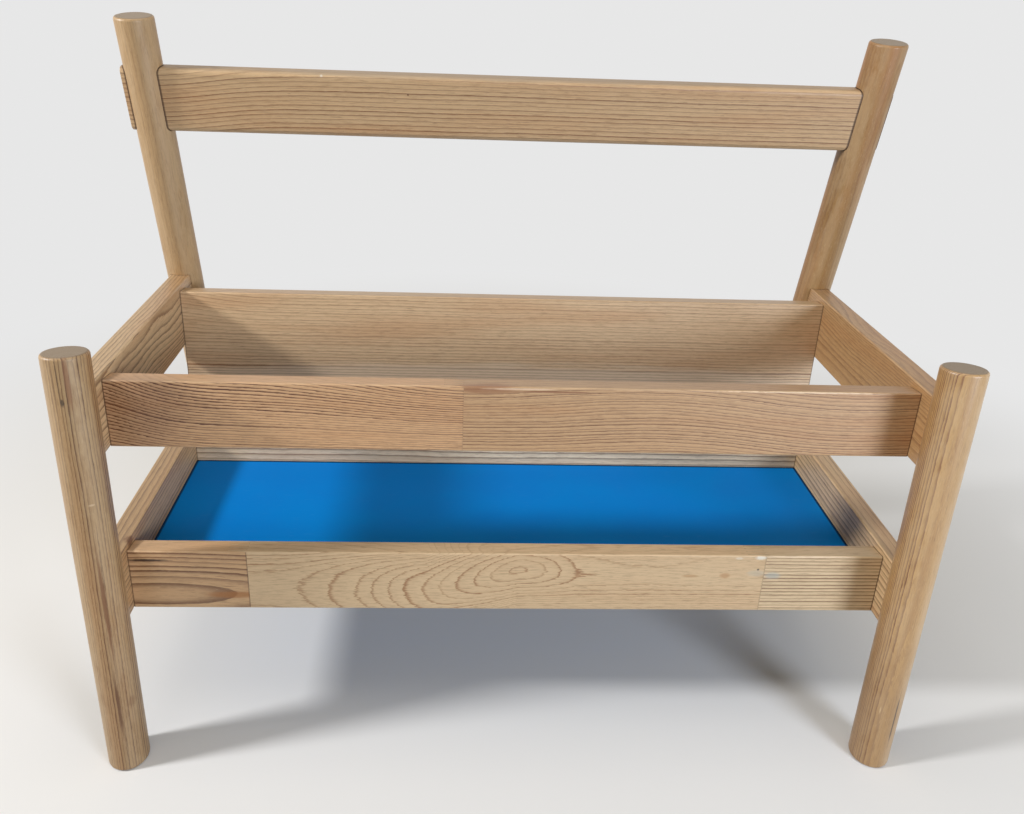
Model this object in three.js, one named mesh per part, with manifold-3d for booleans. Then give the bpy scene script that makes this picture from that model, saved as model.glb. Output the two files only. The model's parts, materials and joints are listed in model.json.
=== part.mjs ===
// A children's book rack: two short front legs that lean back and two long back legs that
// lean forward as much, joined by flat, level side rails let into the round legs. Two front
// rails, a back board and a lower back rail stand between the side rails on hidden dowels,
// parallel to the front legs. A painted shelf panel lies level in grooves, and a top rail
// passes through both back legs.
// Millimetres. X runs across, Y from front to back, Z up.

import * as THREE from 'three';
import { mergeVertices, toCreasedNormals } from 'three/addons/utils/BufferGeometryUtils.js';
import Module from 'manifold-3d';

const wasm = await Module();
wasm.setup();

// Legs
const legDiameter = 32;
const legRimRound = 2.5;
const legSpacing = 632; // left axis to right axis
const frontLegRise = 29; // from the upper side rail to the top of the front leg
const backLegHeight = 548; // middle of the top above the floor
const footSpread = 346; // front axis to back axis, on the floor
const legLeanDegrees = 7.5; // front legs back, back legs forward

// Boards
const boardThickness = 18;
const boardEdgeRound = 1.5;
const sideRailHeight = 57;
const sideRailLet = 20; // how far a side rail runs into a leg
const frontRailHeight = 53;
const frontRailSetback = 12; // behind the front legs
const backBoardHeight = 95;
const backBoardGap = 15; // from the top of the board to the back legs
const lowerRailLift = 122; // from the floor to the lower rails
const railSpacing = 142; // from the lower rails to the upper ones, bottom to bottom

// Top rail, measured along the leaning legs
const topRailHeight = 53;
const topRailDrop = 38.5; // from the top of the leg to the rail
const topRailEdgeRound = 5;
const topRailEndRound = 0.6;
const topRailLeftProud = 1.5;
const topRailRightShy = 2;

// Glued lengths of the two front rails
const upperRailLeftLength = 265;
const lowerRailLeftLength = 94;
const lowerRailRightLength = 97.5;
const fingerLength = 15;
const fingerFlat = 0.8;
const fingerCount = 4;

// Shelf panel and its grooves
const panelThickness = 5;
const panelLift = 18; // above the bottom of the lower rails
const grooveDepth = 6;

// Dowels
const dowelDiameter = 8;
const dowelLength = 36;
const dowelChamfer = 1;
const dowelHoleSpare = 1; // each hole is deeper than the dowel by this
const dowelInSideRailShare = 2 / 3; // of the side rail's thickness

// Fits
const fitClearance = 0.3;
const slotClearance = 0.5; // round the top rail, where it passes through the back legs
const glueLine = 0.1;
const overrun = 10; // past the surface, for every cut

// Facets
const legSides = 48;
const roundSteps = 3;
const dowelSides = 12;
const creaseAngle = Math.PI / 7;

// Sizes that follow
const lean = THREE.MathUtils.degToRad(legLeanDegrees);
const legRadius = legDiameter / 2;
const innerWidth = legSpacing - boardThickness;
const upperRailBottom = lowerRailLift + railSpacing;
const frontLegHeight = upperRailBottom + sideRailHeight + frontLegRise;
const frontLegLength = frontLegHeight / Math.cos(lean);
const backLegLength = backLegHeight / Math.cos(lean);
const topRailAlong = backLegLength - topRailDrop - topRailHeight / 2;
const frontRailFront = legRadius + frontRailSetback;
const shelfFront = frontRailFront + boardThickness;
const shelfBack = shelfBackBehindFrontLegs();
const panelBottom = lowerRailLift + panelLift;
const panelMiddle = panelBottom + panelThickness / 2;

// Where the legs' axes stand at a height above the floor
function frontLegAxisY(z) {
  return z * Math.tan(lean);
}

function backLegAxisY(z) {
  return footSpread - frontLegAxisY(z);
}

// Boards lean with the front legs, so their places are given in the frame of these legs: how
// far behind the legs' axes, square to them, and how far along the legs from the floor
function alongFrontLegs(behind, z) {
  return (z + behind * Math.sin(lean)) / Math.cos(lean);
}

// Y of a plane that stands so far behind the front legs, at a height above the floor
function planeY(behind, z) {
  return (behind + z * Math.sin(lean)) / Math.cos(lean);
}

// The front of the back board, whose upper back edge keeps a gap to the back legs
function shelfBackBehindFrontLegs() {
  const boardTop = upperRailBottom + frontRailHeight * Math.cos(lean);
  const edgeZ = boardTop - boardThickness * Math.sin(lean);
  const edgeY = backLegAxisY(edgeZ) - legRadius / Math.cos(lean) - backBoardGap;
  return edgeY * Math.cos(lean) - edgeZ * Math.sin(lean) - boardThickness;
}

// Materials

const pine = (color) => new THREE.MeshStandardMaterial({ color, roughness: 0.45, metalness: 0 });
const legPine = 0xc9a071;
const sidePine = 0xcba06c;
const boardPine = 0xc69863;
const palePine = 0xd8bb8c;
const dowelBeech = () => new THREE.MeshStandardMaterial({ color: 0xcfa67c, roughness: 0.7, metalness: 0 });
const bluePaint = () => new THREE.MeshStandardMaterial({ color: 0x0f74bd, roughness: 0.35, metalness: 0 });

// Cutting and joining solids

function solidOf(geometry) {
  const plain = geometry.clone();
  plain.deleteAttribute('normal');
  plain.deleteAttribute('uv');
  const merged = mergeVertices(plain);
  const mesh = new wasm.Mesh({
    numProp: 3,
    vertProperties: Float32Array.from(merged.getAttribute('position').array),
    triVerts: Uint32Array.from(merged.getIndex().array),
  });
  return new wasm.Manifold(mesh);
}

function geometryOf(solid) {
  const { vertProperties, triVerts } = solid.getMesh();
  const geometry = new THREE.BufferGeometry();
  geometry.setAttribute('position', new THREE.BufferAttribute(vertProperties, 3));
  geometry.setIndex(new THREE.BufferAttribute(triVerts, 1));
  return toCreasedNormals(geometry, creaseAngle);
}

// The cutters are given where they stand in the rack, and are moved into the piece's own frame
function cut(piece, cutters) {
  piece.updateWorldMatrix(true, false);
  const intoPiece = piece.matrixWorld.clone().invert();
  let solid = solidOf(piece.geometry);
  for (const cutter of cutters) {
    solid = solid.subtract(solidOf(cutter.clone().applyMatrix4(intoPiece)));
  }
  piece.geometry = geometryOf(solid);
}

// Basic forms

function roundedSection(width, height, round) {
  const x = width / 2;
  const y = height / 2;
  const r = Math.min(round, x, y);
  const shape = new THREE.Shape();
  shape.absarc(x - r, y - r, r, 0, Math.PI / 2);
  shape.absarc(r - x, y - r, r, Math.PI / 2, Math.PI);
  shape.absarc(r - x, r - y, r, Math.PI, 1.5 * Math.PI);
  shape.absarc(x - r, r - y, r, 1.5 * Math.PI, 2 * Math.PI);
  return shape;
}

// A board along X from its left end at the origin, with rounded long edges
function boardAlongX(length, height, thickness, round, endRound = 0) {
  const section = roundedSection(height - 2 * endRound, thickness - 2 * endRound, round - endRound);
  const geometry = new THREE.ExtrudeGeometry(section, {
    depth: length - 2 * endRound,
    curveSegments: roundSteps,
    bevelEnabled: endRound > 0,
    bevelSize: endRound,
    bevelThickness: endRound,
    bevelSegments: roundSteps,
  });
  return geometry.translate(0, 0, endRound).rotateY(Math.PI / 2);
}

// A side rail with its middle line at the origin's height and its ends cut along the legs
function sideRailForm(bottom, grow = 0) {
  const section = roundedSection(
    boardThickness + 2 * grow,
    sideRailHeight + 2 * grow,
    boardEdgeRound + grow,
  );
  const form = new THREE.ExtrudeGeometry(section, {
    depth: footSpread,
    curveSegments: roundSteps,
    bevelEnabled: false,
  });
  form.rotateX(Math.PI / 2);
  const middle = bottom + sideRailHeight / 2;
  const pastAxis = (sideRailLet - legRadius + grow) / Math.cos(lean);
  const points = form.getAttribute('position');
  for (let i = 0; i < points.count; i += 1) {
    const z = middle + points.getZ(i);
    const atBack = points.getY(i) > -footSpread / 2;
    points.setY(i, atBack ? backLegAxisY(z) + pastAxis : frontLegAxisY(z) - pastAxis);
  }
  return form;
}

function quarterRound(centreR, centreY, radius, from, to) {
  const curve = new THREE.EllipseCurve(centreR, centreY, radius, radius, from, to);
  return curve.getPoints(roundSteps);
}

// A round leg along Z with rounded rims, whose foot is cut level for the angle that it leans
function legForm(length, leanAngle) {
  const inner = legRadius - legRimRound;
  const outline = [
    new THREE.Vector2(0, 0),
    ...quarterRound(inner, legRimRound, legRimRound, -Math.PI / 2, 0),
    ...quarterRound(inner, length - legRimRound, legRimRound, 0, Math.PI / 2),
    new THREE.Vector2(0, length),
  ];
  const form = new THREE.LatheGeometry(outline, legSides).rotateX(Math.PI / 2);
  const points = form.getAttribute('position');
  for (let i = 0; i < points.count; i += 1) {
    const inFoot = points.getZ(i) < length / 2;
    if (inFoot) points.setZ(i, points.getZ(i) - points.getY(i) * Math.tan(leanAngle));
  }
  return form;
}

// A chamfered dowel along X with its middle at the origin
function dowelForm() {
  const radius = dowelDiameter / 2;
  const half = dowelLength / 2;
  const outline = [
    new THREE.Vector2(0, -half),
    new THREE.Vector2(radius - dowelChamfer, -half),
    new THREE.Vector2(radius, dowelChamfer - half),
    new THREE.Vector2(radius, half - dowelChamfer),
    new THREE.Vector2(radius - dowelChamfer, half),
    new THREE.Vector2(0, half),
  ];
  return new THREE.LatheGeometry(outline, dowelSides).rotateZ(Math.PI / 2);
}

function dowelHoleForm() {
  const radius = dowelDiameter / 2 + fitClearance;
  const length = dowelLength + 2 * dowelHoleSpare;
  return new THREE.CylinderGeometry(radius, radius, length, dowelSides).rotateZ(Math.PI / 2);
}

// Pieces

const rack = new THREE.Group();

// What is parallel to the front legs, with its origin between their feet
const frontFrame = new THREE.Group();
frontFrame.rotation.x = -lean;

// What is parallel to the back legs, with its origin between their feet
const backFrame = new THREE.Group();
backFrame.rotation.x = lean;
backFrame.position.y = footSpread;

rack.add(frontFrame, backFrame);
for (const group of [frontFrame, backFrame]) group.updateMatrix();

function addPiece(group, name, geometry, material) {
  const piece = new THREE.Mesh(geometry, material);
  piece.name = name;
  group.add(piece);
  return piece;
}

const sides = [
  { name: 'left', sign: -1 },
  { name: 'right', sign: 1 },
];

// Side rails, two a side, and what each leaves in the legs

const sideRails = [];
for (const side of sides) {
  for (const level of [
    { name: 'upper', bottom: upperRailBottom },
    { name: 'lower', bottom: lowerRailLift },
  ]) {
    const name = `${level.name}_side_rail_${side.name}`;
    const rail = addPiece(rack, name, sideRailForm(level.bottom), pine(sidePine));
    const place = new THREE.Vector3(side.sign * legSpacing / 2, 0, level.bottom + sideRailHeight / 2);
    rail.position.copy(place);
    const mortise = sideRailForm(level.bottom, fitClearance).translate(place.x, place.y, place.z);
    sideRails.push({ rail, mortise, side: side.name, level: level.name });
  }
}

// Top rail

const topRailLeft = -legSpacing / 2 - legRadius - topRailLeftProud;
const topRailRight = legSpacing / 2 + legRadius - topRailRightShy;
const topRail = addPiece(
  backFrame,
  'top_rail',
  boardAlongX(topRailRight - topRailLeft, topRailHeight, boardThickness, topRailEdgeRound, topRailEndRound),
  pine(boardPine),
);
topRail.position.set(topRailLeft, 0, topRailAlong);

const topRailSlot = boardAlongX(
  topRailRight - topRailLeft + 2 * overrun,
  topRailHeight + 2 * slotClearance,
  boardThickness + 2 * slotClearance,
  topRailEdgeRound + slotClearance,
).translate(topRailLeft - overrun, 0, topRailAlong).applyMatrix4(backFrame.matrix);

// Legs

for (const side of sides) {
  const mortises = sideRails.filter((entry) => entry.side === side.name).map((entry) => entry.mortise);
  for (const leg of [
    { name: 'front_leg', group: frontFrame, form: legForm(frontLegLength, -lean), slots: [] },
    { name: 'back_leg', group: backFrame, form: legForm(backLegLength, lean), slots: [topRailSlot] },
  ]) {
    const piece = addPiece(leg.group, `${leg.name}_${side.name}`, leg.form, pine(legPine));
    piece.position.x = side.sign * legSpacing / 2;
    cut(piece, [...mortises, ...leg.slots]);
  }
}

// Boards between the side rails, in the frame of the front legs

const boardLength = innerWidth - 2 * glueLine;
const boardLeft = -boardLength / 2;

function placedBoard(front, bottom, height) {
  const form = boardAlongX(boardLength, height, boardThickness, boardEdgeRound);
  return form.translate(boardLeft, front + boardThickness / 2, bottom + height / 2);
}

// Two dowels at each end of a board, the low one halfway from the rail's edge to the panel

const dowelInSideRail = boardThickness * dowelInSideRailShare;
const dowelHeights = [
  { name: 'low', rise: panelLift / 2 },
  { name: 'high', rise: frontRailHeight - panelLift / 2 },
];

function dowelPlaces(front, bottom) {
  return sides.flatMap((side) => dowelHeights.map((height) => ({
    name: `${side.name}_${height.name}`,
    side: side.name,
    place: new THREE.Vector3(
      side.sign * (innerWidth / 2 + dowelInSideRail - dowelLength / 2),
      front + boardThickness / 2,
      bottom + height.rise,
    ),
  })));
}

// The panel's edges and the room that they take in the boards

const panelFront = planeY(shelfFront, panelMiddle);
const panelBack = planeY(shelfBack, panelMiddle);
const panelWidth = innerWidth + 2 * (grooveDepth - fitClearance);
const panelDepth = panelBack - panelFront + 2 * (grooveDepth - fitClearance);

const grooves = new THREE.BoxGeometry(
  innerWidth + 2 * grooveDepth,
  panelBack - panelFront + 2 * grooveDepth,
  panelThickness + 2 * fitClearance,
).translate(0, (panelFront + panelBack) / 2, panelMiddle);

// Finger joints: everything to the right of a seam, with fingers that reach left inside the
// board. The faces of the board show a straight line at the seam.
function rightOfSeam(seam, front, spare) {
  const pitch = boardThickness / fingerCount;
  const wide = (pitch - fingerFlat) / 2 + spare;
  const narrow = fingerFlat / 2 + spare;
  const root = seam - spare;
  const tip = seam - fingerLength - spare;
  const outline = [new THREE.Vector2(root, front - overrun)];
  for (let i = 0; i < fingerCount; i += 1) {
    const middle = front + (i + 0.5) * pitch;
    outline.push(
      new THREE.Vector2(root, middle - wide),
      new THREE.Vector2(tip, middle - narrow),
      new THREE.Vector2(tip, middle + narrow),
      new THREE.Vector2(root, middle + wide),
    );
  }
  outline.push(
    new THREE.Vector2(root, front + boardThickness + overrun),
    new THREE.Vector2(innerWidth, front + boardThickness + overrun),
    new THREE.Vector2(innerWidth, front - overrun),
  );
  return new THREE.ExtrudeGeometry(new THREE.Shape(outline), { depth: frontLegLength, bevelEnabled: false });
}

function splitAtSeams(board, seams, front) {
  const lengths = [];
  let rest = board;
  for (const seam of seams) {
    lengths.push(rest.subtract(solidOf(rightOfSeam(seam, front, glueLine))));
    rest = rest.intersect(solidOf(rightOfSeam(seam, front, 0)));
  }
  return [...lengths, rest];
}

// Each board: the lengths it is glued from, where it stands and whether the panel enters it

const boards = [
  {
    names: ['upper_front_rail_left', 'upper_front_rail_right'],
    seams: [upperRailLeftLength - innerWidth / 2],
    colors: [boardPine, boardPine],
    front: frontRailFront,
    railBottom: upperRailBottom,
    height: frontRailHeight,
    level: 'upper',
    dowels: 'upper_front',
  },
  {
    names: ['lower_front_rail_left', 'lower_front_rail_middle', 'lower_front_rail_right'],
    seams: [lowerRailLeftLength - innerWidth / 2, innerWidth / 2 - lowerRailRightLength],
    colors: [boardPine, palePine, palePine],
    front: frontRailFront,
    railBottom: lowerRailLift,
    height: frontRailHeight,
    level: 'lower',
    dowels: 'lower_front',
    grooved: true,
  },
  {
    names: ['back_board'],
    seams: [],
    colors: [boardPine],
    front: shelfBack,
    railBottom: upperRailBottom,
    height: backBoardHeight,
    level: 'upper',
    dowels: 'back_board',
  },
  {
    names: ['lower_back_rail'],
    seams: [],
    colors: [palePine],
    front: shelfBack,
    railBottom: lowerRailLift,
    height: frontRailHeight,
    level: 'lower',
    dowels: 'lower_back',
    grooved: true,
  },
];

const sideRailCuts = new Map();
for (const entry of sideRails) sideRailCuts.set(entry.rail, entry.level === 'lower' ? [grooves] : []);

for (const board of boards) {
  const railBottom = alongFrontLegs(board.front, board.railBottom);
  const bottom = railBottom + frontRailHeight - board.height;
  const places = dowelPlaces(board.front, railBottom);
  const holes = places.map(({ place }) => dowelHoleForm().translate(place.x, place.y, place.z));
  const groovesHere = grooves.clone().applyMatrix4(frontFrame.matrix.clone().invert());

  let solid = solidOf(placedBoard(board.front, bottom, board.height));
  for (const cutter of board.grooved ? [...holes, groovesHere] : holes) {
    solid = solid.subtract(solidOf(cutter));
  }
  splitAtSeams(solid, board.seams, board.front).forEach((length, i) => {
    addPiece(frontFrame, board.names[i], geometryOf(length), pine(board.colors[i]));
  });

  places.forEach((entry, i) => {
    const dowel = addPiece(frontFrame, `dowel_${board.dowels}_${entry.name}`, dowelForm(), dowelBeech());
    dowel.position.copy(entry.place);
    const carrier = sideRails.find((rail) => rail.side === entry.side && rail.level === board.level);
    sideRailCuts.get(carrier.rail).push(holes[i].clone().applyMatrix4(frontFrame.matrix));
  });
}

for (const [rail, cutters] of sideRailCuts) cut(rail, cutters);

// Shelf panel

const panel = addPiece(
  rack,
  'shelf_panel',
  new THREE.BoxGeometry(panelWidth, panelDepth, panelThickness),
  bluePaint(),
);
panel.position.set(0, (panelFront + panelBack) / 2, panelMiddle);

// The origin is on the floor, under the middle of the whole rack

const extent = new THREE.Box3().setFromObject(rack, true);
const centre = extent.getCenter(new THREE.Vector3());
rack.position.set(-centre.x, -centre.y, -extent.min.z);
rack.updateMatrixWorld(true);

export default rack;
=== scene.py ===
import json
import math

import bmesh
import bpy
from mathutils import Matrix, Vector


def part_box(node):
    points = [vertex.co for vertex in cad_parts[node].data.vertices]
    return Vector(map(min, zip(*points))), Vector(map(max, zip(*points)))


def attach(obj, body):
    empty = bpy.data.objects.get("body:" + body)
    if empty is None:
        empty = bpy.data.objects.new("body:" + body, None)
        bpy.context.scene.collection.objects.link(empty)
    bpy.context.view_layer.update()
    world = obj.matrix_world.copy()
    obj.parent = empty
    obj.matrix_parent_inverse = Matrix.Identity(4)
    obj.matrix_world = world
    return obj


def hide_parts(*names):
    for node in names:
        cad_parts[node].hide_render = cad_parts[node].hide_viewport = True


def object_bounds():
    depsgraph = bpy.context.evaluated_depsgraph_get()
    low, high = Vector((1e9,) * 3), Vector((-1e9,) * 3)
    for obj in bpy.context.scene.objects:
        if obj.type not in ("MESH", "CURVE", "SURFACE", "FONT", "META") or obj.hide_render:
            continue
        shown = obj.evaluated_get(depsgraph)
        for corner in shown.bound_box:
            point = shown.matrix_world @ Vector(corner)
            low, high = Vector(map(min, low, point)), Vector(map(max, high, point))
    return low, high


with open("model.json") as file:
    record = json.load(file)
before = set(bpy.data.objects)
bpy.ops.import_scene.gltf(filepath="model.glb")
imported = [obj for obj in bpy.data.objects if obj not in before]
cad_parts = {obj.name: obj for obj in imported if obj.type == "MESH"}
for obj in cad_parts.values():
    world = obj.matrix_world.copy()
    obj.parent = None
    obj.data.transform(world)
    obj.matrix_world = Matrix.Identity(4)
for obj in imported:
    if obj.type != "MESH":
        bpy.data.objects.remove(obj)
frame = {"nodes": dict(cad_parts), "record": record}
cad_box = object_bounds()

# Units, and a length that stands for no limit
MM = 0.001
FAR = 1e6

# Camera, placed from the middle between the front feet
FRAME_WIDTH_PX = 1024
FRAME_HEIGHT_PX = 814
FOCAL_PX = 798.47
PRINCIPAL_X_PX = 485.35
PRINCIPAL_Y_PX = 404.57
CAMERA_RIGHT = -51.01 * MM
CAMERA_BACK = -459.78 * MM
CAMERA_UP = 585.10 * MM
CAMERA_PITCH = math.radians(28.1535)
CAMERA_YAW = math.radians(-2.7358)
CAMERA_ROLL = math.radians(2.1906)
SENSOR_WIDTH = 36.0
CLIP_START = 0.02

# Round lamps that point at the rack. Azimuth, from the rack's front to its right, and elevation
# are in degrees.
LAMPS = (
    dict(name="key", azimuth=38, elevation=11.5, distance=1.9, size=0.7, watts=20, colour=(0.91, 1.0, 1.14)),
    dict(name="top", azimuth=0, elevation=90, distance=2.2, size=2.0, watts=14, colour=(1.0, 1.0, 1.0)),
    dict(name="fill", azimuth=-78, elevation=28.5, distance=2.2, size=0.28, watts=34, colour=(1.0, 1.0, 1.0)),
)

# Light from all round, the pale background and the floor. The floor looks paler than the light
# that it throws back, so that the undersides of the boards stay dark.
WORLD_STRENGTH = 0.18
WORLD_COLOUR = (1.2, 1.0, 0.64)
BACKGROUND_SHADE = 0.80
FLOOR_SHADE = 0.82
FLOOR_BOUNCE_SHADE = 0.4
FLOOR_RADIUS = 30.0
FLOOR_SIDES = 64
FLOOR_FADE_FROM = 0.35
FLOOR_FADE_TO = 1.1

# Mesh refinement
WELD_DISTANCE = 0.005 * MM
FLAT_ANGLE = math.radians(0.2)
SMOOTH_ANGLE = math.radians(40)


def srgb(red, green, blue):
    """A colour given as 0 to 255 screen values, as Blender's linear colour."""
    linear = []
    for value in (red, green, blue):
        share = value / 255
        low = share / 12.92
        high = ((share + 0.055) / 1.055) ** 2.4
        linear.append(low if share <= 0.04045 else high)
    return (*linear, 1.0)


def grey(shade):
    return (shade, shade, shade, 1)


class Graph:
    """A node tree that is written as plain calls. A value is a number or another node's socket."""

    def __init__(self, tree):
        self.tree = tree

    def add(self, kind, **settings):
        node = self.tree.nodes.new(kind)
        for name, value in settings.items():
            setattr(node, name, value)
        return node

    def feed(self, socket, value):
        if isinstance(value, bpy.types.NodeSocket):
            self.tree.links.new(value, socket)
        else:
            socket.default_value = value

    def math(self, operation, first, second=None, third=None):
        node = self.add("ShaderNodeMath", operation=operation)
        for socket, value in zip(node.inputs, (first, second, third)):
            if value is not None:
                self.feed(socket, value)
        return node.outputs[0]

    def vector(self, operation, first, second=None):
        node = self.add("ShaderNodeVectorMath", operation=operation)
        self.feed(node.inputs[0], first)
        if second is not None:
            self.feed(node.inputs[1], second)
        output = "Value" if operation in ("LENGTH", "DOT_PRODUCT") else "Vector"
        return node.outputs[output]

    def combine(self, x, y, z):
        node = self.add("ShaderNodeCombineXYZ")
        for socket, value in zip(node.inputs, (x, y, z)):
            self.feed(socket, value)
        return node.outputs[0]

    def separate(self, vector):
        node = self.add("ShaderNodeSeparateXYZ")
        self.feed(node.inputs[0], vector)
        return node.outputs

    def smooth_step(self, value, low, high):
        """0 at low and 1 at high, whichever of the two is larger."""
        node = self.add("ShaderNodeMapRange", interpolation_type="SMOOTHSTEP")
        for name, item in (("Value", value), ("From Min", low), ("From Max", high)):
            self.feed(node.inputs[name], item)
        return node.outputs[0]

    def share_of(self, value, low, high, most):
        """A smooth step that reaches no more than a given share."""
        return self.math("MULTIPLY", self.smooth_step(value, low, high), most)

    def noise(self, vector, detail=2.0, roughness=0.5):
        """Smooth noise around 0.5 with features one unit across."""
        node = self.add("ShaderNodeTexNoise")
        self.feed(node.inputs["Vector"], vector)
        node.inputs["Scale"].default_value = 1.0
        node.inputs["Detail"].default_value = detail
        node.inputs["Roughness"].default_value = roughness
        return node.outputs

    def line_noise(self, value, detail):
        node = self.add("ShaderNodeTexNoise", noise_dimensions="1D")
        self.feed(node.inputs["W"], value)
        node.inputs["Scale"].default_value = 1.0
        node.inputs["Detail"].default_value = detail
        return node.outputs[0]

    def random(self, value):
        node = self.add("ShaderNodeTexWhiteNoise", noise_dimensions="1D")
        self.feed(node.inputs["W"], value)
        return node.outputs["Value"]

    def mix(self, share, first, second):
        """A colour between two others."""
        node = self.add("ShaderNodeMix", data_type="RGBA")
        self.feed(node.inputs["Factor"], share)
        colours = [socket for socket in node.inputs if socket.type == "RGBA"]
        for socket, colour in zip(colours, (first, second)):
            self.feed(socket, colour)
        return [socket for socket in node.outputs if socket.type == "RGBA"][0]

    def mix_shaders(self, share, first, second):
        node = self.add("ShaderNodeMixShader")
        for socket, value in zip(node.inputs, (share, first, second)):
            self.feed(socket, value)
        return node.outputs[0]

    def bump(self, height, strength, distance):
        node = self.add("ShaderNodeBump")
        node.inputs["Strength"].default_value = strength
        node.inputs["Distance"].default_value = distance
        self.feed(node.inputs["Height"], height)
        return node.outputs[0]

    def seen_directly(self):
        """1 for what the camera sees, also reflected or through glass, and 0 for other light paths."""
        path = self.add("ShaderNodeLightPath")
        seen = self.math("MAXIMUM", path.outputs["Is Camera Ray"], path.outputs["Is Glossy Ray"])
        return self.math("MAXIMUM", seen, path.outputs["Is Transmission Ray"])

    def finish(self, kind, shader):
        """Joins a shader to the output node of a material or a world."""
        self.feed(self.add(kind).inputs["Surface"], shader)


def emptied_graph(owner):
    """The node graph of a new material or world, with the nodes that it starts with taken out."""
    owner.use_nodes = True
    owner.node_tree.nodes.clear()
    return Graph(owner.node_tree)


# The finish of the wood: growth rings, fibres, resin canals, edges lightened by real rubbing and by a painted
# highlight, and lacquer

EARLY_WOOD = srgb(196, 163, 124)
LATE_WOOD = srgb(128, 84, 46)
FIBRE_DARK = srgb(112, 76, 44)
FIBRE_LIGHT = srgb(222, 196, 160)
HEART_TINT = srgb(180, 120, 68)
RESIN = srgb(96, 60, 34)
WHITE_CHIP = srgb(228, 222, 208)
END_GRAIN = srgb(142, 124, 101)
END_GRAIN_LINE = srgb(118, 90, 62)
# Painted shade for the narrow gaps at the joints
JOINT_GAP_SHADE = srgb(70, 44, 24)
NARROW_FACE_DARK = srgb(120, 98, 74)

# Noise runs from 0 to 1, round this middle
NOISE_MIDDLE = 0.5

# Sizes of the grain in millimetres, along the fibres and across them
RAGGED_GRAIN = (9, 0.9)
WAVY_GRAIN = (42, 13)

# Streaks that lie over the rings, from the first painted to the last. Each comes in over a span
# of its noise's values, and its offset is added to the piece's seed.
HEART_STREAKS = dict(
    colour=HEART_TINT, grain=(190, 20), offset=0, detail=2.0, roughness=0.5, span=(0.42, 0.75),
)
FIBRE_STREAKS = dict(
    colour=FIBRE_DARK, grain=(13, 0.9), offset=0, detail=3.0, roughness=0.65, span=(0.45, 0.75),
)
FLECK_STREAKS = dict(
    colour=FIBRE_LIGHT, grain=(4, 0.7), offset=5, detail=2.0, roughness=0.6, span=(0.52, 0.8),
)
CANAL_STREAKS = dict(
    colour=RESIN, grain=(7, 0.6), offset=9, detail=0.0, roughness=0.5, span=(0.74, 0.82),
)
FIBRE_SHARE = 0.40
FLECK_SHARE = 0.25
CANAL_SHARE = 0.30

# A ring runs from 0, where its early wood starts, to 1, where the next ring's does
RING_SHADE_SPAN = (0.1, 0.9)
LATE_FULL = 0.93
LATE_END_SPAN = (1.0, 0.95)
PALEST_RING_SHARE = 0.5
UNEVEN_PACE = 0.45

# How softly the left run of an eye levels out, in millimetres
EYE_FADE = 60

# Spans over which a face counts as turned along y or x, by the size of its normal's part there
NARROW_FACE_SPAN = (0.7, 0.95)
END_FACE_SPAN = (0.75, 0.95)
END_RINGS_SHARE = 0.6
WORN_AND_LIT_EDGE_SPAN = (0.2, 0.8)
WORN_AND_LIT_PATCH_SPAN = (0.3, 0.6)

# Stains, nicks and patches of painted light and shade: how far the grain frays their rims, and their usual
# grain and softness
MARK_FRAY = 0.9
MARK_SEED = 0.3
MARK_GRAIN = (5, 1)
MARK_SOFTNESS = 1.9

# Painted shade in the joint gaps, in millimetres from the end of a board and from the side of a leg
JOINT_GAP_SHADE_SPAN = (1.1, 0.5)
LEG_GAP_SHADE_SPAN = (1.3, 0.5)
LEG_GAP_SHADE_SHARE = 0.8

# Lacquer, and the relief of the grain under it
LACQUER_ROUGHNESS = 0.39
FIBRE_ROUGHNESS = 0.14
COAT_ROUGHNESS = 0.38
RING_RELIEF_SHARE = 0.5
FIBRE_RELIEF_SHARE = 0.6
RELIEF_STRENGTH = 0.4
RELIEF_DEPTH = 0.12 * MM


def grain_frame(graph, centre, along, up):
    """Millimetres from the middle of the piece: x along the grain, y up the face, z out of it.
    With it come the sizes of the normal's parts along the same axes."""
    x_axis = Vector(along).normalized()
    z_axis = x_axis.cross(Vector(up)).normalized()
    y_axis = z_axis.cross(x_axis)
    turn = Matrix((x_axis, y_axis, z_axis)).transposed()
    coordinates = graph.add("ShaderNodeTexCoord")
    mapping = graph.add("ShaderNodeMapping", vector_type="TEXTURE")
    graph.feed(mapping.inputs["Vector"], coordinates.outputs["Object"])
    mapping.inputs["Location"].default_value = centre
    mapping.inputs["Rotation"].default_value = turn.to_euler()
    mapping.inputs["Scale"].default_value = (MM, MM, MM)
    facing = [
        graph.math("ABSOLUTE", graph.vector("DOT_PRODUCT", coordinates.outputs["Normal"], tuple(axis)))
        for axis in (x_axis, y_axis, z_axis)
    ]
    return mapping.outputs[0], facing


def grain_noise(graph, place, grain, seed, detail=2.0, roughness=0.5):
    """Noise stretched along the grain. Its seed moves it aside, so that pieces differ."""
    along, across = grain
    stretched = graph.vector("MULTIPLY", place, (1 / along, 1 / across, 1 / across))
    return graph.noise(graph.vector("ADD", stretched, (seed, 3 * seed, 7 * seed)), detail, roughness)[0]


def add_hills(graph, place, value, hills):
    """Adds a smooth hill, or a hollow where its rise is negative, to a value for each given one."""
    for each in hills:
        offset = graph.vector("SUBTRACT", place, (*each["place"], 0))
        scaled = graph.vector("DIVIDE", offset, (*each["size"], FAR))
        squared = graph.vector("DOT_PRODUCT", scaled, scaled)
        near = graph.math("EXPONENT", graph.math("MULTIPLY", squared, -1))
        value = graph.math("MULTIPLY_ADD", near, each["rise"], value)
    return value


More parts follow.
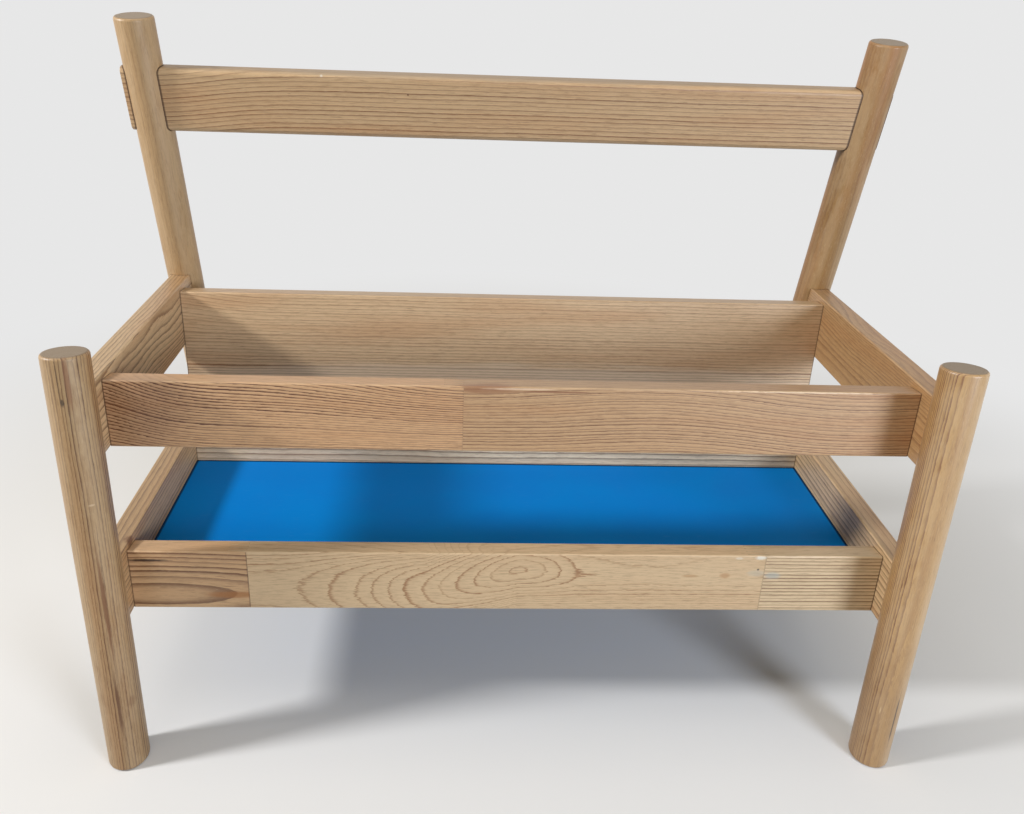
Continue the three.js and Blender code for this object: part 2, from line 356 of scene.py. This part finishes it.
def ring_radius(graph, place, look):
    """Millimetres from the pith of the tree, which runs past the piece at a slant."""
    seed = look["seed"]
    length, width = look["warp_length"], look["warp_width"]
    slow = graph.vector("MULTIPLY", place, (1 / length, 1 / width, 1 / width))
    slow = graph.noise(graph.vector("ADD", slow, (seed, 2 * seed, 3 * seed)), detail=1.0)["Color"]
    slow = graph.vector("SUBTRACT", slow, (NOISE_MIDDLE, NOISE_MIDDLE, NOISE_MIDDLE))
    slow = graph.vector("MULTIPLY", slow, (0, look["warp"], look["warp"]))
    x, y, z = graph.separate(graph.vector("ADD", place, slow))
    away = []
    for across, pith, slope in zip((y, z), look["pith"], look["slope"]):
        from_pith = graph.math("SUBTRACT", across, pith)
        away.append(graph.math("SUBTRACT", from_pith, graph.math("MULTIPLY", x, slope)))
    if "eye" in look:
        away = round_an_eye(graph, x, *away, look["eye"])
    return add_hills(graph, place, graph.vector("LENGTH", graph.combine(0, *away)), look["bows"])


def round_an_eye(graph, x, away_y, away_z, eye):
    """Distances from a pith that comes up to the face at the eye's x and dives again on both sides.

    Left and right are the slopes of the dive, which ends at reach and depth. On the left the pith
    also drops along the face, up to most_drop. Spread and crowd widen the eye's rings near its
    middle line and draw them together above and below it."""
    left = graph.math("MAXIMUM", graph.math("SUBTRACT", eye["x"], x), 0)
    left = graph.math("SMOOTH_MIN", left, eye["reach"], EYE_FADE)
    right = graph.math("MAXIMUM", graph.math("SUBTRACT", x, eye["x"]), 0)
    right = graph.math("MINIMUM", graph.math("MULTIPLY", right, eye["right"]), eye["depth"])
    away_z = graph.math("ADD", away_z, graph.math("MULTIPLY_ADD", left, eye["left"], right))
    drop = graph.math("MINIMUM", graph.math("MULTIPLY", left, eye["drop"]), eye["most_drop"])
    away_y = graph.math("ADD", away_y, drop)
    crowding = graph.math("MULTIPLY_ADD", graph.math("POWER", away_y, 2), eye["crowd"], eye["spread"])
    return graph.math("MULTIPLY", away_y, crowding), away_z


def growth_rings(graph, place, look):
    """How far a point lies into the dark late wood of its ring, from 0 to 1."""
    seed = look["seed"]
    radius = ring_radius(graph, place, look)
    for grain, offset, most in ((WAVY_GRAIN, 0, look["wavy"]), (RAGGED_GRAIN, 1, look["ragged"])):
        stray = graph.math("SUBTRACT", grain_noise(graph, place, grain, seed + offset), NOISE_MIDDLE)
        radius = graph.math("MULTIPLY_ADD", stray, most, radius)
    turns = graph.math("POWER", graph.math("DIVIDE", radius, look["ring"]), look["power"])
    uneven = graph.line_noise(graph.math("MULTIPLY_ADD", turns, UNEVEN_PACE, seed), detail=2.0)
    turns = graph.math("MULTIPLY_ADD", uneven, look["uneven"], turns)
    step = graph.math("FRACT", turns)
    shade = graph.share_of(step, *RING_SHADE_SPAN, look["shade"])
    line = graph.smooth_step(step, look["late_from"], LATE_FULL)
    line = graph.math("MULTIPLY_ADD", line, 1 - look["shade"], shade)
    line = graph.math("MULTIPLY", line, graph.smooth_step(step, *LATE_END_SPAN))
    own = graph.random(graph.math("FLOOR", turns))
    own = graph.math("MULTIPLY_ADD", own, 1 - PALEST_RING_SHARE, PALEST_RING_SHARE)
    return graph.math("MULTIPLY", line, own)


def paint_streaks(graph, place, colour, seed, streaks, most):
    """A colour with streaks over it, and the streaks' own noise."""
    noise = grain_noise(
        graph, place, streaks["grain"], seed + streaks["offset"], streaks["detail"], streaks["roughness"],
    )
    return graph.mix(graph.share_of(noise, *streaks["span"], most), colour, streaks["colour"]), noise


def wood_colour(graph, place, rings, facing, look):
    """The colour, the noise of the fibres and the share of end grain."""
    seed = look["seed"]
    facing_x, facing_y, facing_z = facing
    # Painted sheen: the rings fade on narrow faces, which makes those faces paler.
    strength = graph.math("MULTIPLY_ADD", facing_y, look["narrow"] - 1, 1)
    strength = graph.math("MULTIPLY", graph.math("MULTIPLY", rings, strength), look["contrast"])
    strength = graph.math("MULTIPLY", strength, add_hills(graph, place, 1.0, look["bold"]))
    colour = graph.mix(strength, look["early"], look["late"])

    colour, _ = paint_streaks(graph, place, colour, seed, HEART_STREAKS, look["tint"])
    colour, fibre = paint_streaks(graph, place, colour, seed, FIBRE_STREAKS, FIBRE_SHARE)
    colour, _ = paint_streaks(graph, place, colour, seed, FLECK_STREAKS, FLECK_SHARE)
    colour, _ = paint_streaks(graph, place, colour, seed, CANAL_STREAKS, CANAL_SHARE)

    # Narrow faces are painted darker and greyer.
    narrow_face_darkening = graph.share_of(facing_y, *NARROW_FACE_SPAN, look["narrow_face_darkening"])
    colour = graph.mix(narrow_face_darkening, colour, NARROW_FACE_DARK)
    # Twice the product is 1 in the middle of a rounded edge and 0 on both faces beside it
    edge = graph.math("MULTIPLY", graph.math("MULTIPLY", facing_y, facing_z), 2)
    patches = grain_noise(graph, place, WAVY_GRAIN, seed + 2, detail=4.0, roughness=0.7)
    patches = graph.smooth_step(patches, *WORN_AND_LIT_PATCH_SPAN)
    # Real wear and painted highlight: rounded edges are lightened in patches.
    worn_and_lit = graph.math("MULTIPLY", graph.smooth_step(edge, *WORN_AND_LIT_EDGE_SPAN), patches)
    colour = graph.mix(graph.math("MULTIPLY", worn_and_lit, look["wear_and_highlight"]), colour, FIBRE_LIGHT)

    end_share = graph.smooth_step(facing_x, *END_FACE_SPAN)
    end_colour = graph.mix(graph.math("MULTIPLY", rings, END_RINGS_SHARE), END_GRAIN, END_GRAIN_LINE)
    return graph.mix(end_share, colour, end_colour), fibre, end_share


def paint_marks(graph, place, colour, marks):
    """Stains, nicks, cracks and patches of painted light and shade, each a spot whose rim frays along the
    grain.
    """
    for each in marks:
        offset = graph.vector("SUBTRACT", place, each["place"])
        scaled = graph.vector("DIVIDE", offset, each["size"])
        fray = grain_noise(graph, place, each["grain"], MARK_SEED)
        reach = graph.math("MULTIPLY_ADD", fray, MARK_FRAY, graph.vector("LENGTH", scaled))
        share = graph.share_of(reach, each["soft"], 1.0, each["strength"])
        colour = graph.mix(share, colour, each["colour"])
    return colour


def paint_joint_gap_shade(graph, place, colour, half_length, ends):
    """Painted shade in the gaps where the ends of a board meet the next pieces, so strong at its left and
    right.
    """
    x = graph.separate(place)[0]
    for side, strength in zip((-1, 1), ends):
        inside = graph.math("SUBTRACT", half_length, graph.math("MULTIPLY", x, side))
        colour = graph.mix(graph.share_of(inside, *JOINT_GAP_SHADE_SPAN, strength), colour, JOINT_GAP_SHADE)
    return colour


def paint_leg_gap_shade(graph, place, colour, legs):
    """Painted shade in the gap round each leg that a rail passes through, from the leg's place and radius."""
    for leg_x, radius in legs:
        offset = graph.vector("MULTIPLY", graph.vector("SUBTRACT", place, (leg_x, 0, 0)), (1, 0, 1))
        outside = graph.math("SUBTRACT", graph.vector("LENGTH", offset), radius)
        colour = graph.mix(graph.share_of(outside, *LEG_GAP_SHADE_SPAN, LEG_GAP_SHADE_SHARE), colour, JOINT_GAP_SHADE)
    return colour


def wood(name, centre, along, up, look):
    """Lacquered wood whose rings follow one piece."""
    material = bpy.data.materials.new(name)
    graph = emptied_graph(material)
    place, facing = grain_frame(graph, centre, along, up)
    rings = growth_rings(graph, place, look)
    colour, fibre, end_share = wood_colour(graph, place, rings, facing, look)
    colour = paint_marks(graph, place, colour, look["marks"])
    # Painted shade in the joint gaps at the board's ends.
    colour = paint_joint_gap_shade(graph, place, colour, look["half_length"], look["ends"])
    # Painted shade in the gap round each leg that the rail passes through.
    colour = paint_leg_gap_shade(graph, place, colour, look["legs"])

    relief = graph.math("MULTIPLY", fibre, FIBRE_RELIEF_SHARE)
    relief = graph.math("MULTIPLY_ADD", rings, RING_RELIEF_SHARE, relief)
    shader = graph.add("ShaderNodeBsdfPrincipled")
    graph.feed(shader.inputs["Base Color"], colour)
    roughness = graph.math("MULTIPLY_ADD", fibre, FIBRE_ROUGHNESS, LACQUER_ROUGHNESS)
    graph.feed(shader.inputs["Roughness"], roughness)
    coat = graph.math("MULTIPLY_ADD", end_share, -look["coat"], look["coat"])
    graph.feed(shader.inputs["Coat Weight"], coat)
    shader.inputs["Coat Roughness"].default_value = COAT_ROUGHNESS
    graph.feed(shader.inputs["Normal"], graph.bump(relief, RELIEF_STRENGTH, RELIEF_DEPTH))
    graph.finish("ShaderNodeOutputMaterial", shader.outputs[0])
    return material


# Blue paint on the panel, with a faint orange-peel surface, rubbed patches and painted shade along
# the edges that sit in grooves. The shade's span is in millimetres inside the panel's edges.

PANEL_BLUE = srgb(0, 122, 208)
PANEL_RUBBED = srgb(0, 131, 214)
PANEL_GROOVE_SHADE = srgb(8, 24, 40)
PANEL_SCUFF = srgb(140, 190, 225)
PATCH_SEED = 0
PATCH_GRAIN = (90, 60)
PATCH_SPAN = (0.4, 0.7)
PATCH_SHARE = 0.5
SCUFF_SEED = 2
SCUFF_GRAIN = (14, 1.2)
SCUFF_SPAN = (0.66, 0.75)
SCUFF_SHARE = 0.05
GROOVE_SHADE_SPAN = (2.8, 1.4)
GROOVE_SHADE_SHARE = 0.85
PAINT_ROUGHNESS = 0.42
PATCH_ROUGHNESS = 0.1
PAINT_SPECULAR = 0.06
PEEL_SEED = 4
PEEL_GRAIN = (1.6, 1.6)
PEEL_STRENGTH = 0.15
PEEL_DEPTH = 0.05 * MM


def blue_paint(name, left_edge, right_edge, back_edge):
    """Satin paint with painted shade in a dark line where the panel enters its grooves at the sides and the
    back.
    """
    material = bpy.data.materials.new(name)
    graph = emptied_graph(material)
    coordinates = graph.add("ShaderNodeTexCoord")
    place = graph.vector("DIVIDE", coordinates.outputs["Object"], (MM, MM, MM))
    patches = grain_noise(graph, place, PATCH_GRAIN, PATCH_SEED, detail=3.0)
    patches = graph.smooth_step(patches, *PATCH_SPAN)
    scuffs = graph.smooth_step(grain_noise(graph, place, SCUFF_GRAIN, SCUFF_SEED), *SCUFF_SPAN)
    colour = graph.mix(graph.math("MULTIPLY", patches, PATCH_SHARE), PANEL_BLUE, PANEL_RUBBED)
    colour = graph.mix(graph.math("MULTIPLY", scuffs, SCUFF_SHARE), colour, PANEL_SCUFF)
    x, y, _ = graph.separate(place)
    # Painted shade: the paint darkens towards the side and back edges, where the panel runs into the rails'
    # grooves.
    for value, outward, edge in ((x, -1, left_edge), (x, 1, right_edge), (y, 1, back_edge)):
        inside = graph.math("MULTIPLY", graph.math("SUBTRACT", edge, value), outward)
        colour = graph.mix(graph.share_of(inside, *GROOVE_SHADE_SPAN, GROOVE_SHADE_SHARE), colour, PANEL_GROOVE_SHADE)

    peel = grain_noise(graph, place, PEEL_GRAIN, PEEL_SEED, detail=1.0)
    shader = graph.add("ShaderNodeBsdfPrincipled")
    graph.feed(shader.inputs["Base Color"], colour)
    roughness = graph.math("MULTIPLY_ADD", patches, PATCH_ROUGHNESS, PAINT_ROUGHNESS)
    graph.feed(shader.inputs["Roughness"], roughness)
    shader.inputs["Specular IOR Level"].default_value = PAINT_SPECULAR
    graph.feed(shader.inputs["Normal"], graph.bump(peel, PEEL_STRENGTH, PEEL_DEPTH))
    graph.finish("ShaderNodeOutputMaterial", shader.outputs[0])
    return material


# Each piece takes its form from its CAD node, welded and with smooth normals

def refined(node_name, material):
    """Shows a wooden or painted piece in place of its CAD node."""
    source = frame["nodes"][node_name]
    mesh = bpy.data.meshes.new(node_name + "_wood")
    shape = bmesh.new()
    shape.from_mesh(source.data)
    bmesh.ops.remove_doubles(shape, verts=shape.verts, dist=WELD_DISTANCE)
    bmesh.ops.dissolve_limit(shape, angle_limit=FLAT_ANGLE, verts=shape.verts, edges=shape.edges)
    for face in shape.faces:
        face.smooth = True
    for edge in shape.edges:
        edge.smooth = edge.is_manifold and edge.calc_face_angle() < SMOOTH_ANGLE
    shape.to_mesh(mesh)
    shape.free()
    mesh.materials.append(material)
    piece = bpy.data.objects.new(node_name + "_shown", mesh)
    bpy.context.scene.collection.objects.link(piece)
    normals = piece.modifiers.new("normals", "WEIGHTED_NORMAL")
    normals.keep_sharp = True
    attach(piece, "root")
    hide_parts(node_name)


def middle(node_name):
    low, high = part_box(node_name)
    return (low + high) / 2


def half_length_mm(node_name):
    """Half a node's length from left to right."""
    low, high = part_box(node_name)
    return (high.x - low.x) / 2 / MM


def leg_direction():
    """Up along the front legs, which lean back."""
    low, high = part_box("front_leg_left")
    diameter = high.x - low.x
    return Vector((0, high.y - low.y - diameter, high.z - low.z)).normalized()


RIGHTWARD = Vector((1, 0, 0))
BACKWARD = Vector((0, 1, 0))
UPWARD = Vector((0, 0, 1))
ALONG_FRONT_LEGS = leg_direction()
ALONG_BACK_LEGS = ALONG_FRONT_LEGS * Vector((1, -1, 1))


def mark(place, size, colour, strength, grain=MARK_GRAIN, soft=MARK_SOFTNESS):
    """A mark by its middle and half sizes in the piece's grain frame. Marks are stains and nicks, and some
    are patches of painted light and shade.
    """
    return dict(place=place, size=size, colour=colour, strength=strength, grain=grain, soft=soft)


def hill(place, size, rise):
    """A smooth rise by its middle and half sizes along the grain and up the face."""
    return dict(place=place, size=size, rise=rise)


# How the rings of each piece lie, in millimetres in the piece's grain frame. The rings count
# from the pith, ring apart, and ever closer where power is over 1. Warp, wavy and ragged are how
# far they stray, slowly to quickly, and bows push them aside. The late wood starts at late_from,
# and bold adds to its strength. On narrow faces, narrow fades the rings as a painted sheen,
# narrow_face_darkening makes the faces darker and greyer, and wear_and_highlight lightens their
# edges in patches, as real wear and as a painted highlight.
PLAIN_LOOK = dict(
    pith=(-160, -60), slope=(0, 0), ring=4.2, power=1.0, uneven=1.2,
    warp=5, warp_length=190, warp_width=45, wavy=1.6, ragged=0.9, bows=(),
    late_from=0.55, shade=0.35, contrast=0.95, bold=(), early=EARLY_WOOD, late=LATE_WOOD,
    tint=0.25, narrow=0.4, narrow_face_darkening=0.3, wear_and_highlight=0.25, coat=0.4,
    marks=(), half_length=0, ends=(), legs=(),
)

LOOKS = {
    "top_rail": dict(
        seed=3.1, pith=(-220, -30), ring=3.75, uneven=0.4, warp=2.5, wavy=0.9, ragged=0.6,
        late_from=0.66, shade=0.25, early=srgb(206, 172, 130), late=srgb(104, 60, 28),
        narrow_face_darkening=0.5, coat=0.1, legs=("back_leg_left", "back_leg_right"),
        bows=[hill((-310, 0), (70, FAR), 10)],
        marks=[
            # The first mark is painted shade: a darker, greyer band along the top.
            mark((0, 28, 3), (320, 5, 14), srgb(160, 138, 112), 0.75, grain=(60, 2), soft=1.5),
            mark((-164, 24.5, 9), (1.2, 1, 2), WHITE_CHIP, 0.7),
            mark((-91, 11.3, 9), (0.8, 0.8, 2), RESIN, 0.8),
        ],
    ),
    "upper_front_rail_left": dict(
        seed=5.3, pith=(130, -40), ring=13.9, power=1.6, uneven=0.8, warp=5, wavy=1.3, ragged=1.1,
        contrast=1.35, early=srgb(212, 169, 126), late=srgb(78, 36, 12),
        tint=0.3, narrow=0.15, narrow_face_darkening=0.15, ends=(0.7, 0.15),
        bows=[hill((-150, 30), (52, 60), 21), hill((140, 32), (100, 36), -20)],
        bold=[hill((-110, 14), (70, 24), 0.6), hill((40, -16), (150, 16), -0.55)],
        # Painted shade: a dark patch near the left end, where the front left leg shades the rail.
        marks=[mark((-112, 4, 9), (26, 26, 9), srgb(96, 56, 28), 0.36, grain=(40, 6), soft=2.6)],
    ),
    "upper_front_rail_right": dict(
        seed=7.7, pith=(150, -60), ring=2.8, power=1.04, warp=6, wavy=1.3, ragged=0.9,
        contrast=0.9, early=srgb(198, 160, 119), late=srgb(92, 50, 24), tint=0.3, ends=(0.15, 0.7),
        bows=[hill((-20, 0), (80, FAR), 5), hill((140, 0), (90, FAR), -5)],
        marks=[
            mark((-150, 24.5, 9), (22, 3.5, 8), srgb(132, 78, 46), 0.6, grain=(20, 1.2)),
            mark((-124, 24.8, 9), (24, 0.7, 1.5), srgb(228, 198, 168), 0.8, grain=(9, 1)),
            mark((-100, 23, 9), (30, 0.6, 2), srgb(120, 66, 36), 0.7, grain=(9, 1)),
            mark((90, 26, 9), (80, 0.8, 1.0), srgb(236, 212, 178), 0.7, grain=(3.5, 1.2), soft=1.5),
        ],
    ),
    "lower_front_rail_left": dict(
        seed=2.2, pith=(-13, 12), ring=11.5, power=1.6, uneven=0.3, warp=1.5, wavy=1.0, ragged=0.9,
        late_from=0.45, shade=0.4, contrast=1.0, early=srgb(204, 166, 124), late=srgb(88, 46, 18),
        tint=0.1, narrow=0.15, narrow_face_darkening=0, ends=(0.7, 0.45),
        eye=dict(x=-44, left=0, reach=FAR, right=0.16, depth=FAR, drop=0, most_drop=0, spread=1, crowd=0),
        marks=[
            mark((-32, 18.2, 9), (17, 1.1, 4), srgb(48, 28, 16), 0.95),
            mark((34, -13.5, 9), (22, 3.5, 4), srgb(158, 100, 44), 0.75, grain=(24, 0.7), soft=1.7),
        ],
    ),
    "lower_front_rail_middle": dict(
        seed=9.4, pith=(12.3, 9), ring=3.6, uneven=0.6, warp=3, wavy=1.3, ragged=1.9,
        late_from=0.74, shade=0.12, contrast=0.8, early=srgb(213, 185, 147), late=srgb(142, 90, 48),
        tint=0.08, narrow_face_darkening=0.1, coat=0.15, ends=(0, 0.2),
        eye=dict(
            x=15, left=0.26, reach=170, right=0.25, depth=12,
            drop=0.28, most_drop=21, spread=0.6, crowd=1 / 2000,
        ),
        bows=[hill((120, 22), (60, 16), 5)],
        bold=[hill((196, 15), (44, 13), -1.1)],
        marks=[
            mark((157, 7, 9), (6, 1.2, 3), srgb(178, 132, 88), 0.55, grain=(6, 0.8)),
            mark((186, 7.5, 9), (4, 2.6, 3), srgb(178, 128, 84), 0.55, grain=(5, 0.8)),
            mark((214, 24.5, 9), (4, 1.5, 2), WHITE_CHIP, 0.9, grain=(2, 1)),
            mark((196, 24, 9), (3, 1, 2), WHITE_CHIP, 0.5, grain=(2, 1)),
            mark((213, 13.5, 9), (0.9, 0.9, 3), srgb(60, 50, 44), 0.9),
            mark((212, 10, 9), (7, 3, 3), srgb(188, 190, 178), 0.35),
        ],
    ),
    "lower_front_rail_right": dict(
        seed=4.8, pith=(-240, -30), ring=3.2, uneven=0.4, warp=1, wavy=0.3, ragged=0.25,
        late_from=0.6, contrast=1.0, early=srgb(222, 198, 161), late=srgb(112, 70, 36),
        tint=0.1, coat=0.15, ends=(0.2, 0.8),
        marks=[
            mark((-52, 24.5, 9), (4, 1.5, 2), WHITE_CHIP, 0.9, grain=(2, 1)),
            mark((-53, 17, 9), (1.2, 5, 2), WHITE_CHIP, 0.4, grain=(1, 1)),
            mark((-34, 8, 9), (6, 3, 3), srgb(160, 176, 180), 0.45),
        ],
    ),
    "back_board": dict(
        seed=6.6, pith=(-260, -60), ring=2.9, warp=3,
        contrast=0.62, early=srgb(216, 184, 144), tint=0.3, ends=(0.7, 0.6),
        bows=[hill((-315, 45), (45, 30), -8)],
        bold=[hill((0, -38), (FAR, 14), 3.2)],
        # Painted light: a pale band along the bottom of the board, which brightens its shaded lower part.
        marks=[mark((0, -34, 9), (400, 18, 9), srgb(222, 200, 172), 0.5, grain=(90, 4), soft=1.5)],
    ),
    "lower_back_rail": dict(
        seed=8.1, pith=(-160, -60), ring=5.2,
        contrast=1.0, early=srgb(230, 208, 174), late=srgb(82, 52, 28), narrow=0.7, ends=(0.6, 0.6),
    ),
    "upper_side_rail_left": dict(
        seed=1.7, pith=(38, 60), ring=19, power=2.0, uneven=0.5, warp=14, warp_length=120,
        late_from=0.6, early=srgb(220, 186, 141), late=srgb(84, 46, 20), tint=0.4, narrow=0.9,
    ),
    "upper_side_rail_right": dict(
        seed=2.9, pith=(-45, -30), ring=27.8, power=2.6, uneven=0.5, warp=12, warp_length=130, ragged=1.2,
        contrast=0.7, early=srgb(188, 148, 101), late=srgb(112, 68, 34), narrow=0.9, narrow_face_darkening=0.25,
    ),
    "lower_side_rail_left": dict(
        seed=3.8, pith=(-90, 90), ring=3.3,
        early=srgb(200, 164, 120), late=srgb(88, 50, 24), tint=0.4, narrow=1,
        marks=[mark((-112, 26, 8), (5, 4, 4), srgb(104, 60, 28), 0.8, grain=(4, 1.5))],
    ),
    "lower_side_rail_right": dict(
        seed=4.1, pith=(-90, -90), ring=3.6,
        early=srgb(217, 185, 142), late=srgb(96, 58, 28), tint=0.4, narrow=1,
    ),
    "front_leg_left": dict(
        seed=5.9, pith=(7, -13), slope=(0.004, 0.01), ring=2.3, warp=4.5, wavy=1.0,
        late_from=0.6, contrast=1.05, early=srgb(179, 146, 104), late=srgb(84, 50, 24),
        narrow=1, narrow_face_darkening=0, coat=0.2,
        bold=[hill((0, -14), (FAR, 9), -0.8)],
        marks=[
            # The first mark is painted shade: the leg darker towards its foot.
            mark((-165, 0, 0), (80, 400, 400), srgb(112, 84, 58), 0.15, grain=(40, 8), soft=2.2),
            mark((160, 6, -15), (20, 1.6, 4), srgb(134, 82, 50), 0.6, grain=(16, 1)),
            mark((144, 1, -16), (2.6, 1.3, 3), srgb(58, 44, 32), 0.8, grain=(2, 0.8)),
            mark((160, 0, -16), (16, 0.5, 3), srgb(66, 48, 32), 0.6, grain=(1.2, 0.6)),
            mark((156, -3, -16), (15, 0.4, 3), srgb(76, 56, 38), 0.5, grain=(1.2, 0.6)),
            mark((65, 8.5, -13), (0.8, 2, 2), srgb(226, 200, 164), 0.6),
            mark((-20, 6.8, -14), (44, 1.1, 5), srgb(120, 74, 42), 0.75, grain=(14, 1)),
            mark((-112, 5, -15), (26, 1.1, 5), srgb(96, 56, 30), 0.8, grain=(12, 1)),
            mark((-113, 13, -9), (5, 3, 4), srgb(120, 78, 46), 0.4, grain=(2, 1)),
        ],
    ),
    "front_leg_right": dict(
        seed=6.2, pith=(9, 60), ring=1.35, uneven=0.8, warp=1.0, wavy=0.5, ragged=0.6,
        contrast=0.85, early=srgb(189, 150, 98), late=srgb(106, 56, 22),
        tint=0.05, narrow=1, narrow_face_darkening=0, coat=0.8,
        bold=[hill((0, -12), (FAR, 7), 0.7), hill((0, 7), (FAR, 12), -1)],
        marks=[
            # The first mark is painted shade: the leg darker towards its foot.
            mark((-165, 0, 0), (80, 400, 400), srgb(124, 90, 58), 0.3, grain=(40, 8), soft=2.2),
            mark((-127, 5.2, -15), (24, 0.7, 4), srgb(52, 34, 22), 0.9, grain=(12, 1.5)),
            mark((-118, -8, -16), (4, 0.5, 3), srgb(228, 200, 158), 0.6),
        ],
    ),
    "back_leg_left": dict(
        seed=7.1, pith=(-26, 30), ring=2.0, warp=3,
        contrast=0.3, early=srgb(188, 154, 110), late=srgb(124, 80, 42),
        tint=0.1, narrow=1, narrow_face_darkening=0, coat=0.2,
    ),
    "back_leg_right": dict(
        seed=8.8, pith=(12, 34), ring=2.2, warp=3,
        contrast=0.65, early=srgb(156, 118, 68), late=srgb(104, 66, 32),
        tint=0.5, narrow=1, narrow_face_darkening=0, coat=0.2,
    ),
}
DOWEL_LOOK = dict(seed=1.1, ring=2.0, contrast=0.3)


def grain_direction(node_name):
    """The way that the grain runs, and the way that counts as up on the piece's face."""
    if "side_rail" in node_name:
        return BACKWARD, UPWARD
    if node_name.startswith("front_leg"):
        return ALONG_FRONT_LEGS, RIGHTWARD
    if node_name.startswith("back_leg"):
        return ALONG_BACK_LEGS, RIGHTWARD
    if node_name == "top_rail":
        return RIGHTWARD, ALONG_BACK_LEGS
    return RIGHTWARD, ALONG_FRONT_LEGS


def leg_across(leg_name, rail_middle):
    """A leg's place along a rail and its radius, in millimetres."""
    return (middle(leg_name).x - rail_middle) / MM, half_length_mm(leg_name)


def panel_back_edge():
    """Where the panel's top meets the leaning face of the lower back rail."""
    low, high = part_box("lower_back_rail")
    lean = ALONG_FRONT_LEGS.y / ALONG_FRONT_LEGS.z
    return low.y + (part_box("shelf_panel")[1].z - low.z) * lean


for node in frame["record"]["subparts"]:
    node_name = node["node"]
    if node_name in LOOKS:
        centre = middle(node_name)
        along, up = grain_direction(node_name)
        look = {**PLAIN_LOOK, **LOOKS[node_name], "half_length": half_length_mm(node_name)}
        look["legs"] = [leg_across(leg_name, centre.x) for leg_name in look["legs"]]
        refined(node_name, wood("pine_" + node_name, centre, along, up, look))

panel_left_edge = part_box("lower_side_rail_left")[1].x
panel_right_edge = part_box("lower_side_rail_right")[0].x
panel_paint = blue_paint("blue_paint", panel_left_edge / MM, panel_right_edge / MM, panel_back_edge() / MM)
refined("shelf_panel", panel_paint)

dowel_wood = wood("beech_dowel", (0, 0, 0), RIGHTWARD, UPWARD, {**PLAIN_LOOK, **DOWEL_LOOK})
for node_name, node_object in frame["nodes"].items():
    if node_name.startswith("dowel_"):
        for material_slot in node_object.material_slots:
            material_slot.material = dowel_wood


# Floor, light and background

def floor_material():
    """A pale floor that takes shadows near the rack and fades into the background farther out."""
    material = bpy.data.materials.new("floor")
    graph = emptied_graph(material)
    seen = graph.seen_directly()
    near = graph.add("ShaderNodeBsdfDiffuse")
    graph.feed(near.inputs["Color"], graph.mix(seen, grey(FLOOR_BOUNCE_SHADE), grey(FLOOR_SHADE)))
    far = graph.add("ShaderNodeEmission")
    far.inputs["Color"].default_value = grey(BACKGROUND_SHADE)
    place = graph.add("ShaderNodeNewGeometry").outputs["Position"]
    fade = graph.smooth_step(graph.vector("LENGTH", place), FLOOR_FADE_FROM, FLOOR_FADE_TO)
    blend = graph.mix_shaders(graph.math("MULTIPLY", fade, seen), near.outputs[0], far.outputs[0])
    graph.finish("ShaderNodeOutputMaterial", blend)
    return material


def make_floor():
    mesh = bpy.data.meshes.new("floor")
    shape = bmesh.new()
    bmesh.ops.create_circle(shape, cap_ends=True, segments=FLOOR_SIDES, radius=FLOOR_RADIUS)
    shape.to_mesh(mesh)
    shape.free()
    floor = bpy.data.objects.new("floor", mesh)
    bpy.context.scene.collection.objects.link(floor)
    mesh.materials.append(floor_material())


def make_world():
    """Soft light from all round, and a pale background that the light doesn't depend on."""
    world = bpy.data.worlds.new("studio")
    bpy.context.scene.world = world
    graph = emptied_graph(world)
    light = graph.add("ShaderNodeBackground")
    light.inputs["Color"].default_value = (*WORLD_COLOUR, 1)
    light.inputs["Strength"].default_value = WORLD_STRENGTH
    backdrop = graph.add("ShaderNodeBackground")
    backdrop.inputs["Color"].default_value = grey(BACKGROUND_SHADE)
    backdrop.inputs["Strength"].default_value = 1.0
    blend = graph.mix_shaders(graph.seen_directly(), light.outputs[0], backdrop.outputs[0])
    graph.finish("ShaderNodeOutputWorld", blend)


def make_lamp(name, azimuth, elevation, distance, size, watts, colour):
    """A round lamp that points at the middle of the rack, with its angles in degrees."""
    azimuth = math.radians(azimuth)
    elevation = math.radians(elevation)
    away = Vector((
        math.sin(azimuth) * math.cos(elevation),
        -math.cos(azimuth) * math.cos(elevation),
        math.sin(elevation),
    ))
    data = bpy.data.lights.new(name, "AREA")
    data.shape = "DISK"
    data.size = size
    data.energy = watts
    data.color = colour
    lamp = bpy.data.objects.new(name, data)
    lamp.location = sum(cad_box, Vector()) / 2 + away * distance
    lamp.rotation_euler = away.to_track_quat("Z", "Y").to_euler()
    bpy.context.scene.collection.objects.link(lamp)


make_floor()
make_world()
for lamp in LAMPS:
    make_lamp(**lamp)


# Camera, where the photograph was taken from

def foot_place(mount_name):
    for mount in frame["record"]["mounts"]:
        if mount["name"] == mount_name:
            return Vector(mount["pos_m"])
    raise KeyError(mount_name)


def make_camera():
    feet = (foot_place("front_left_foot") + foot_place("front_right_foot")) / 2
    data = bpy.data.cameras.new("camera")
    data.sensor_width = SENSOR_WIDTH
    data.lens = SENSOR_WIDTH * FOCAL_PX / FRAME_WIDTH_PX
    data.shift_x = (FRAME_WIDTH_PX / 2 - PRINCIPAL_X_PX) / FRAME_WIDTH_PX
    data.shift_y = (PRINCIPAL_Y_PX - FRAME_HEIGHT_PX / 2) / FRAME_WIDTH_PX
    data.clip_start = CLIP_START
    camera = bpy.data.objects.new("camera", data)
    turn = (
        Matrix.Rotation(CAMERA_YAW, 4, "Z")
        @ Matrix.Rotation(math.pi / 2 - CAMERA_PITCH, 4, "X")
        @ Matrix.Rotation(CAMERA_ROLL, 4, "Z")
    )
    place = Vector((feet.x + CAMERA_RIGHT, feet.y + CAMERA_BACK, CAMERA_UP))
    camera.matrix_world = Matrix.Translation(place) @ turn
    bpy.context.scene.collection.objects.link(camera)
    bpy.context.scene.camera = camera


make_camera()
bpy.context.scene.view_settings.view_transform = "Standard"

bpy.context.view_layer.update()
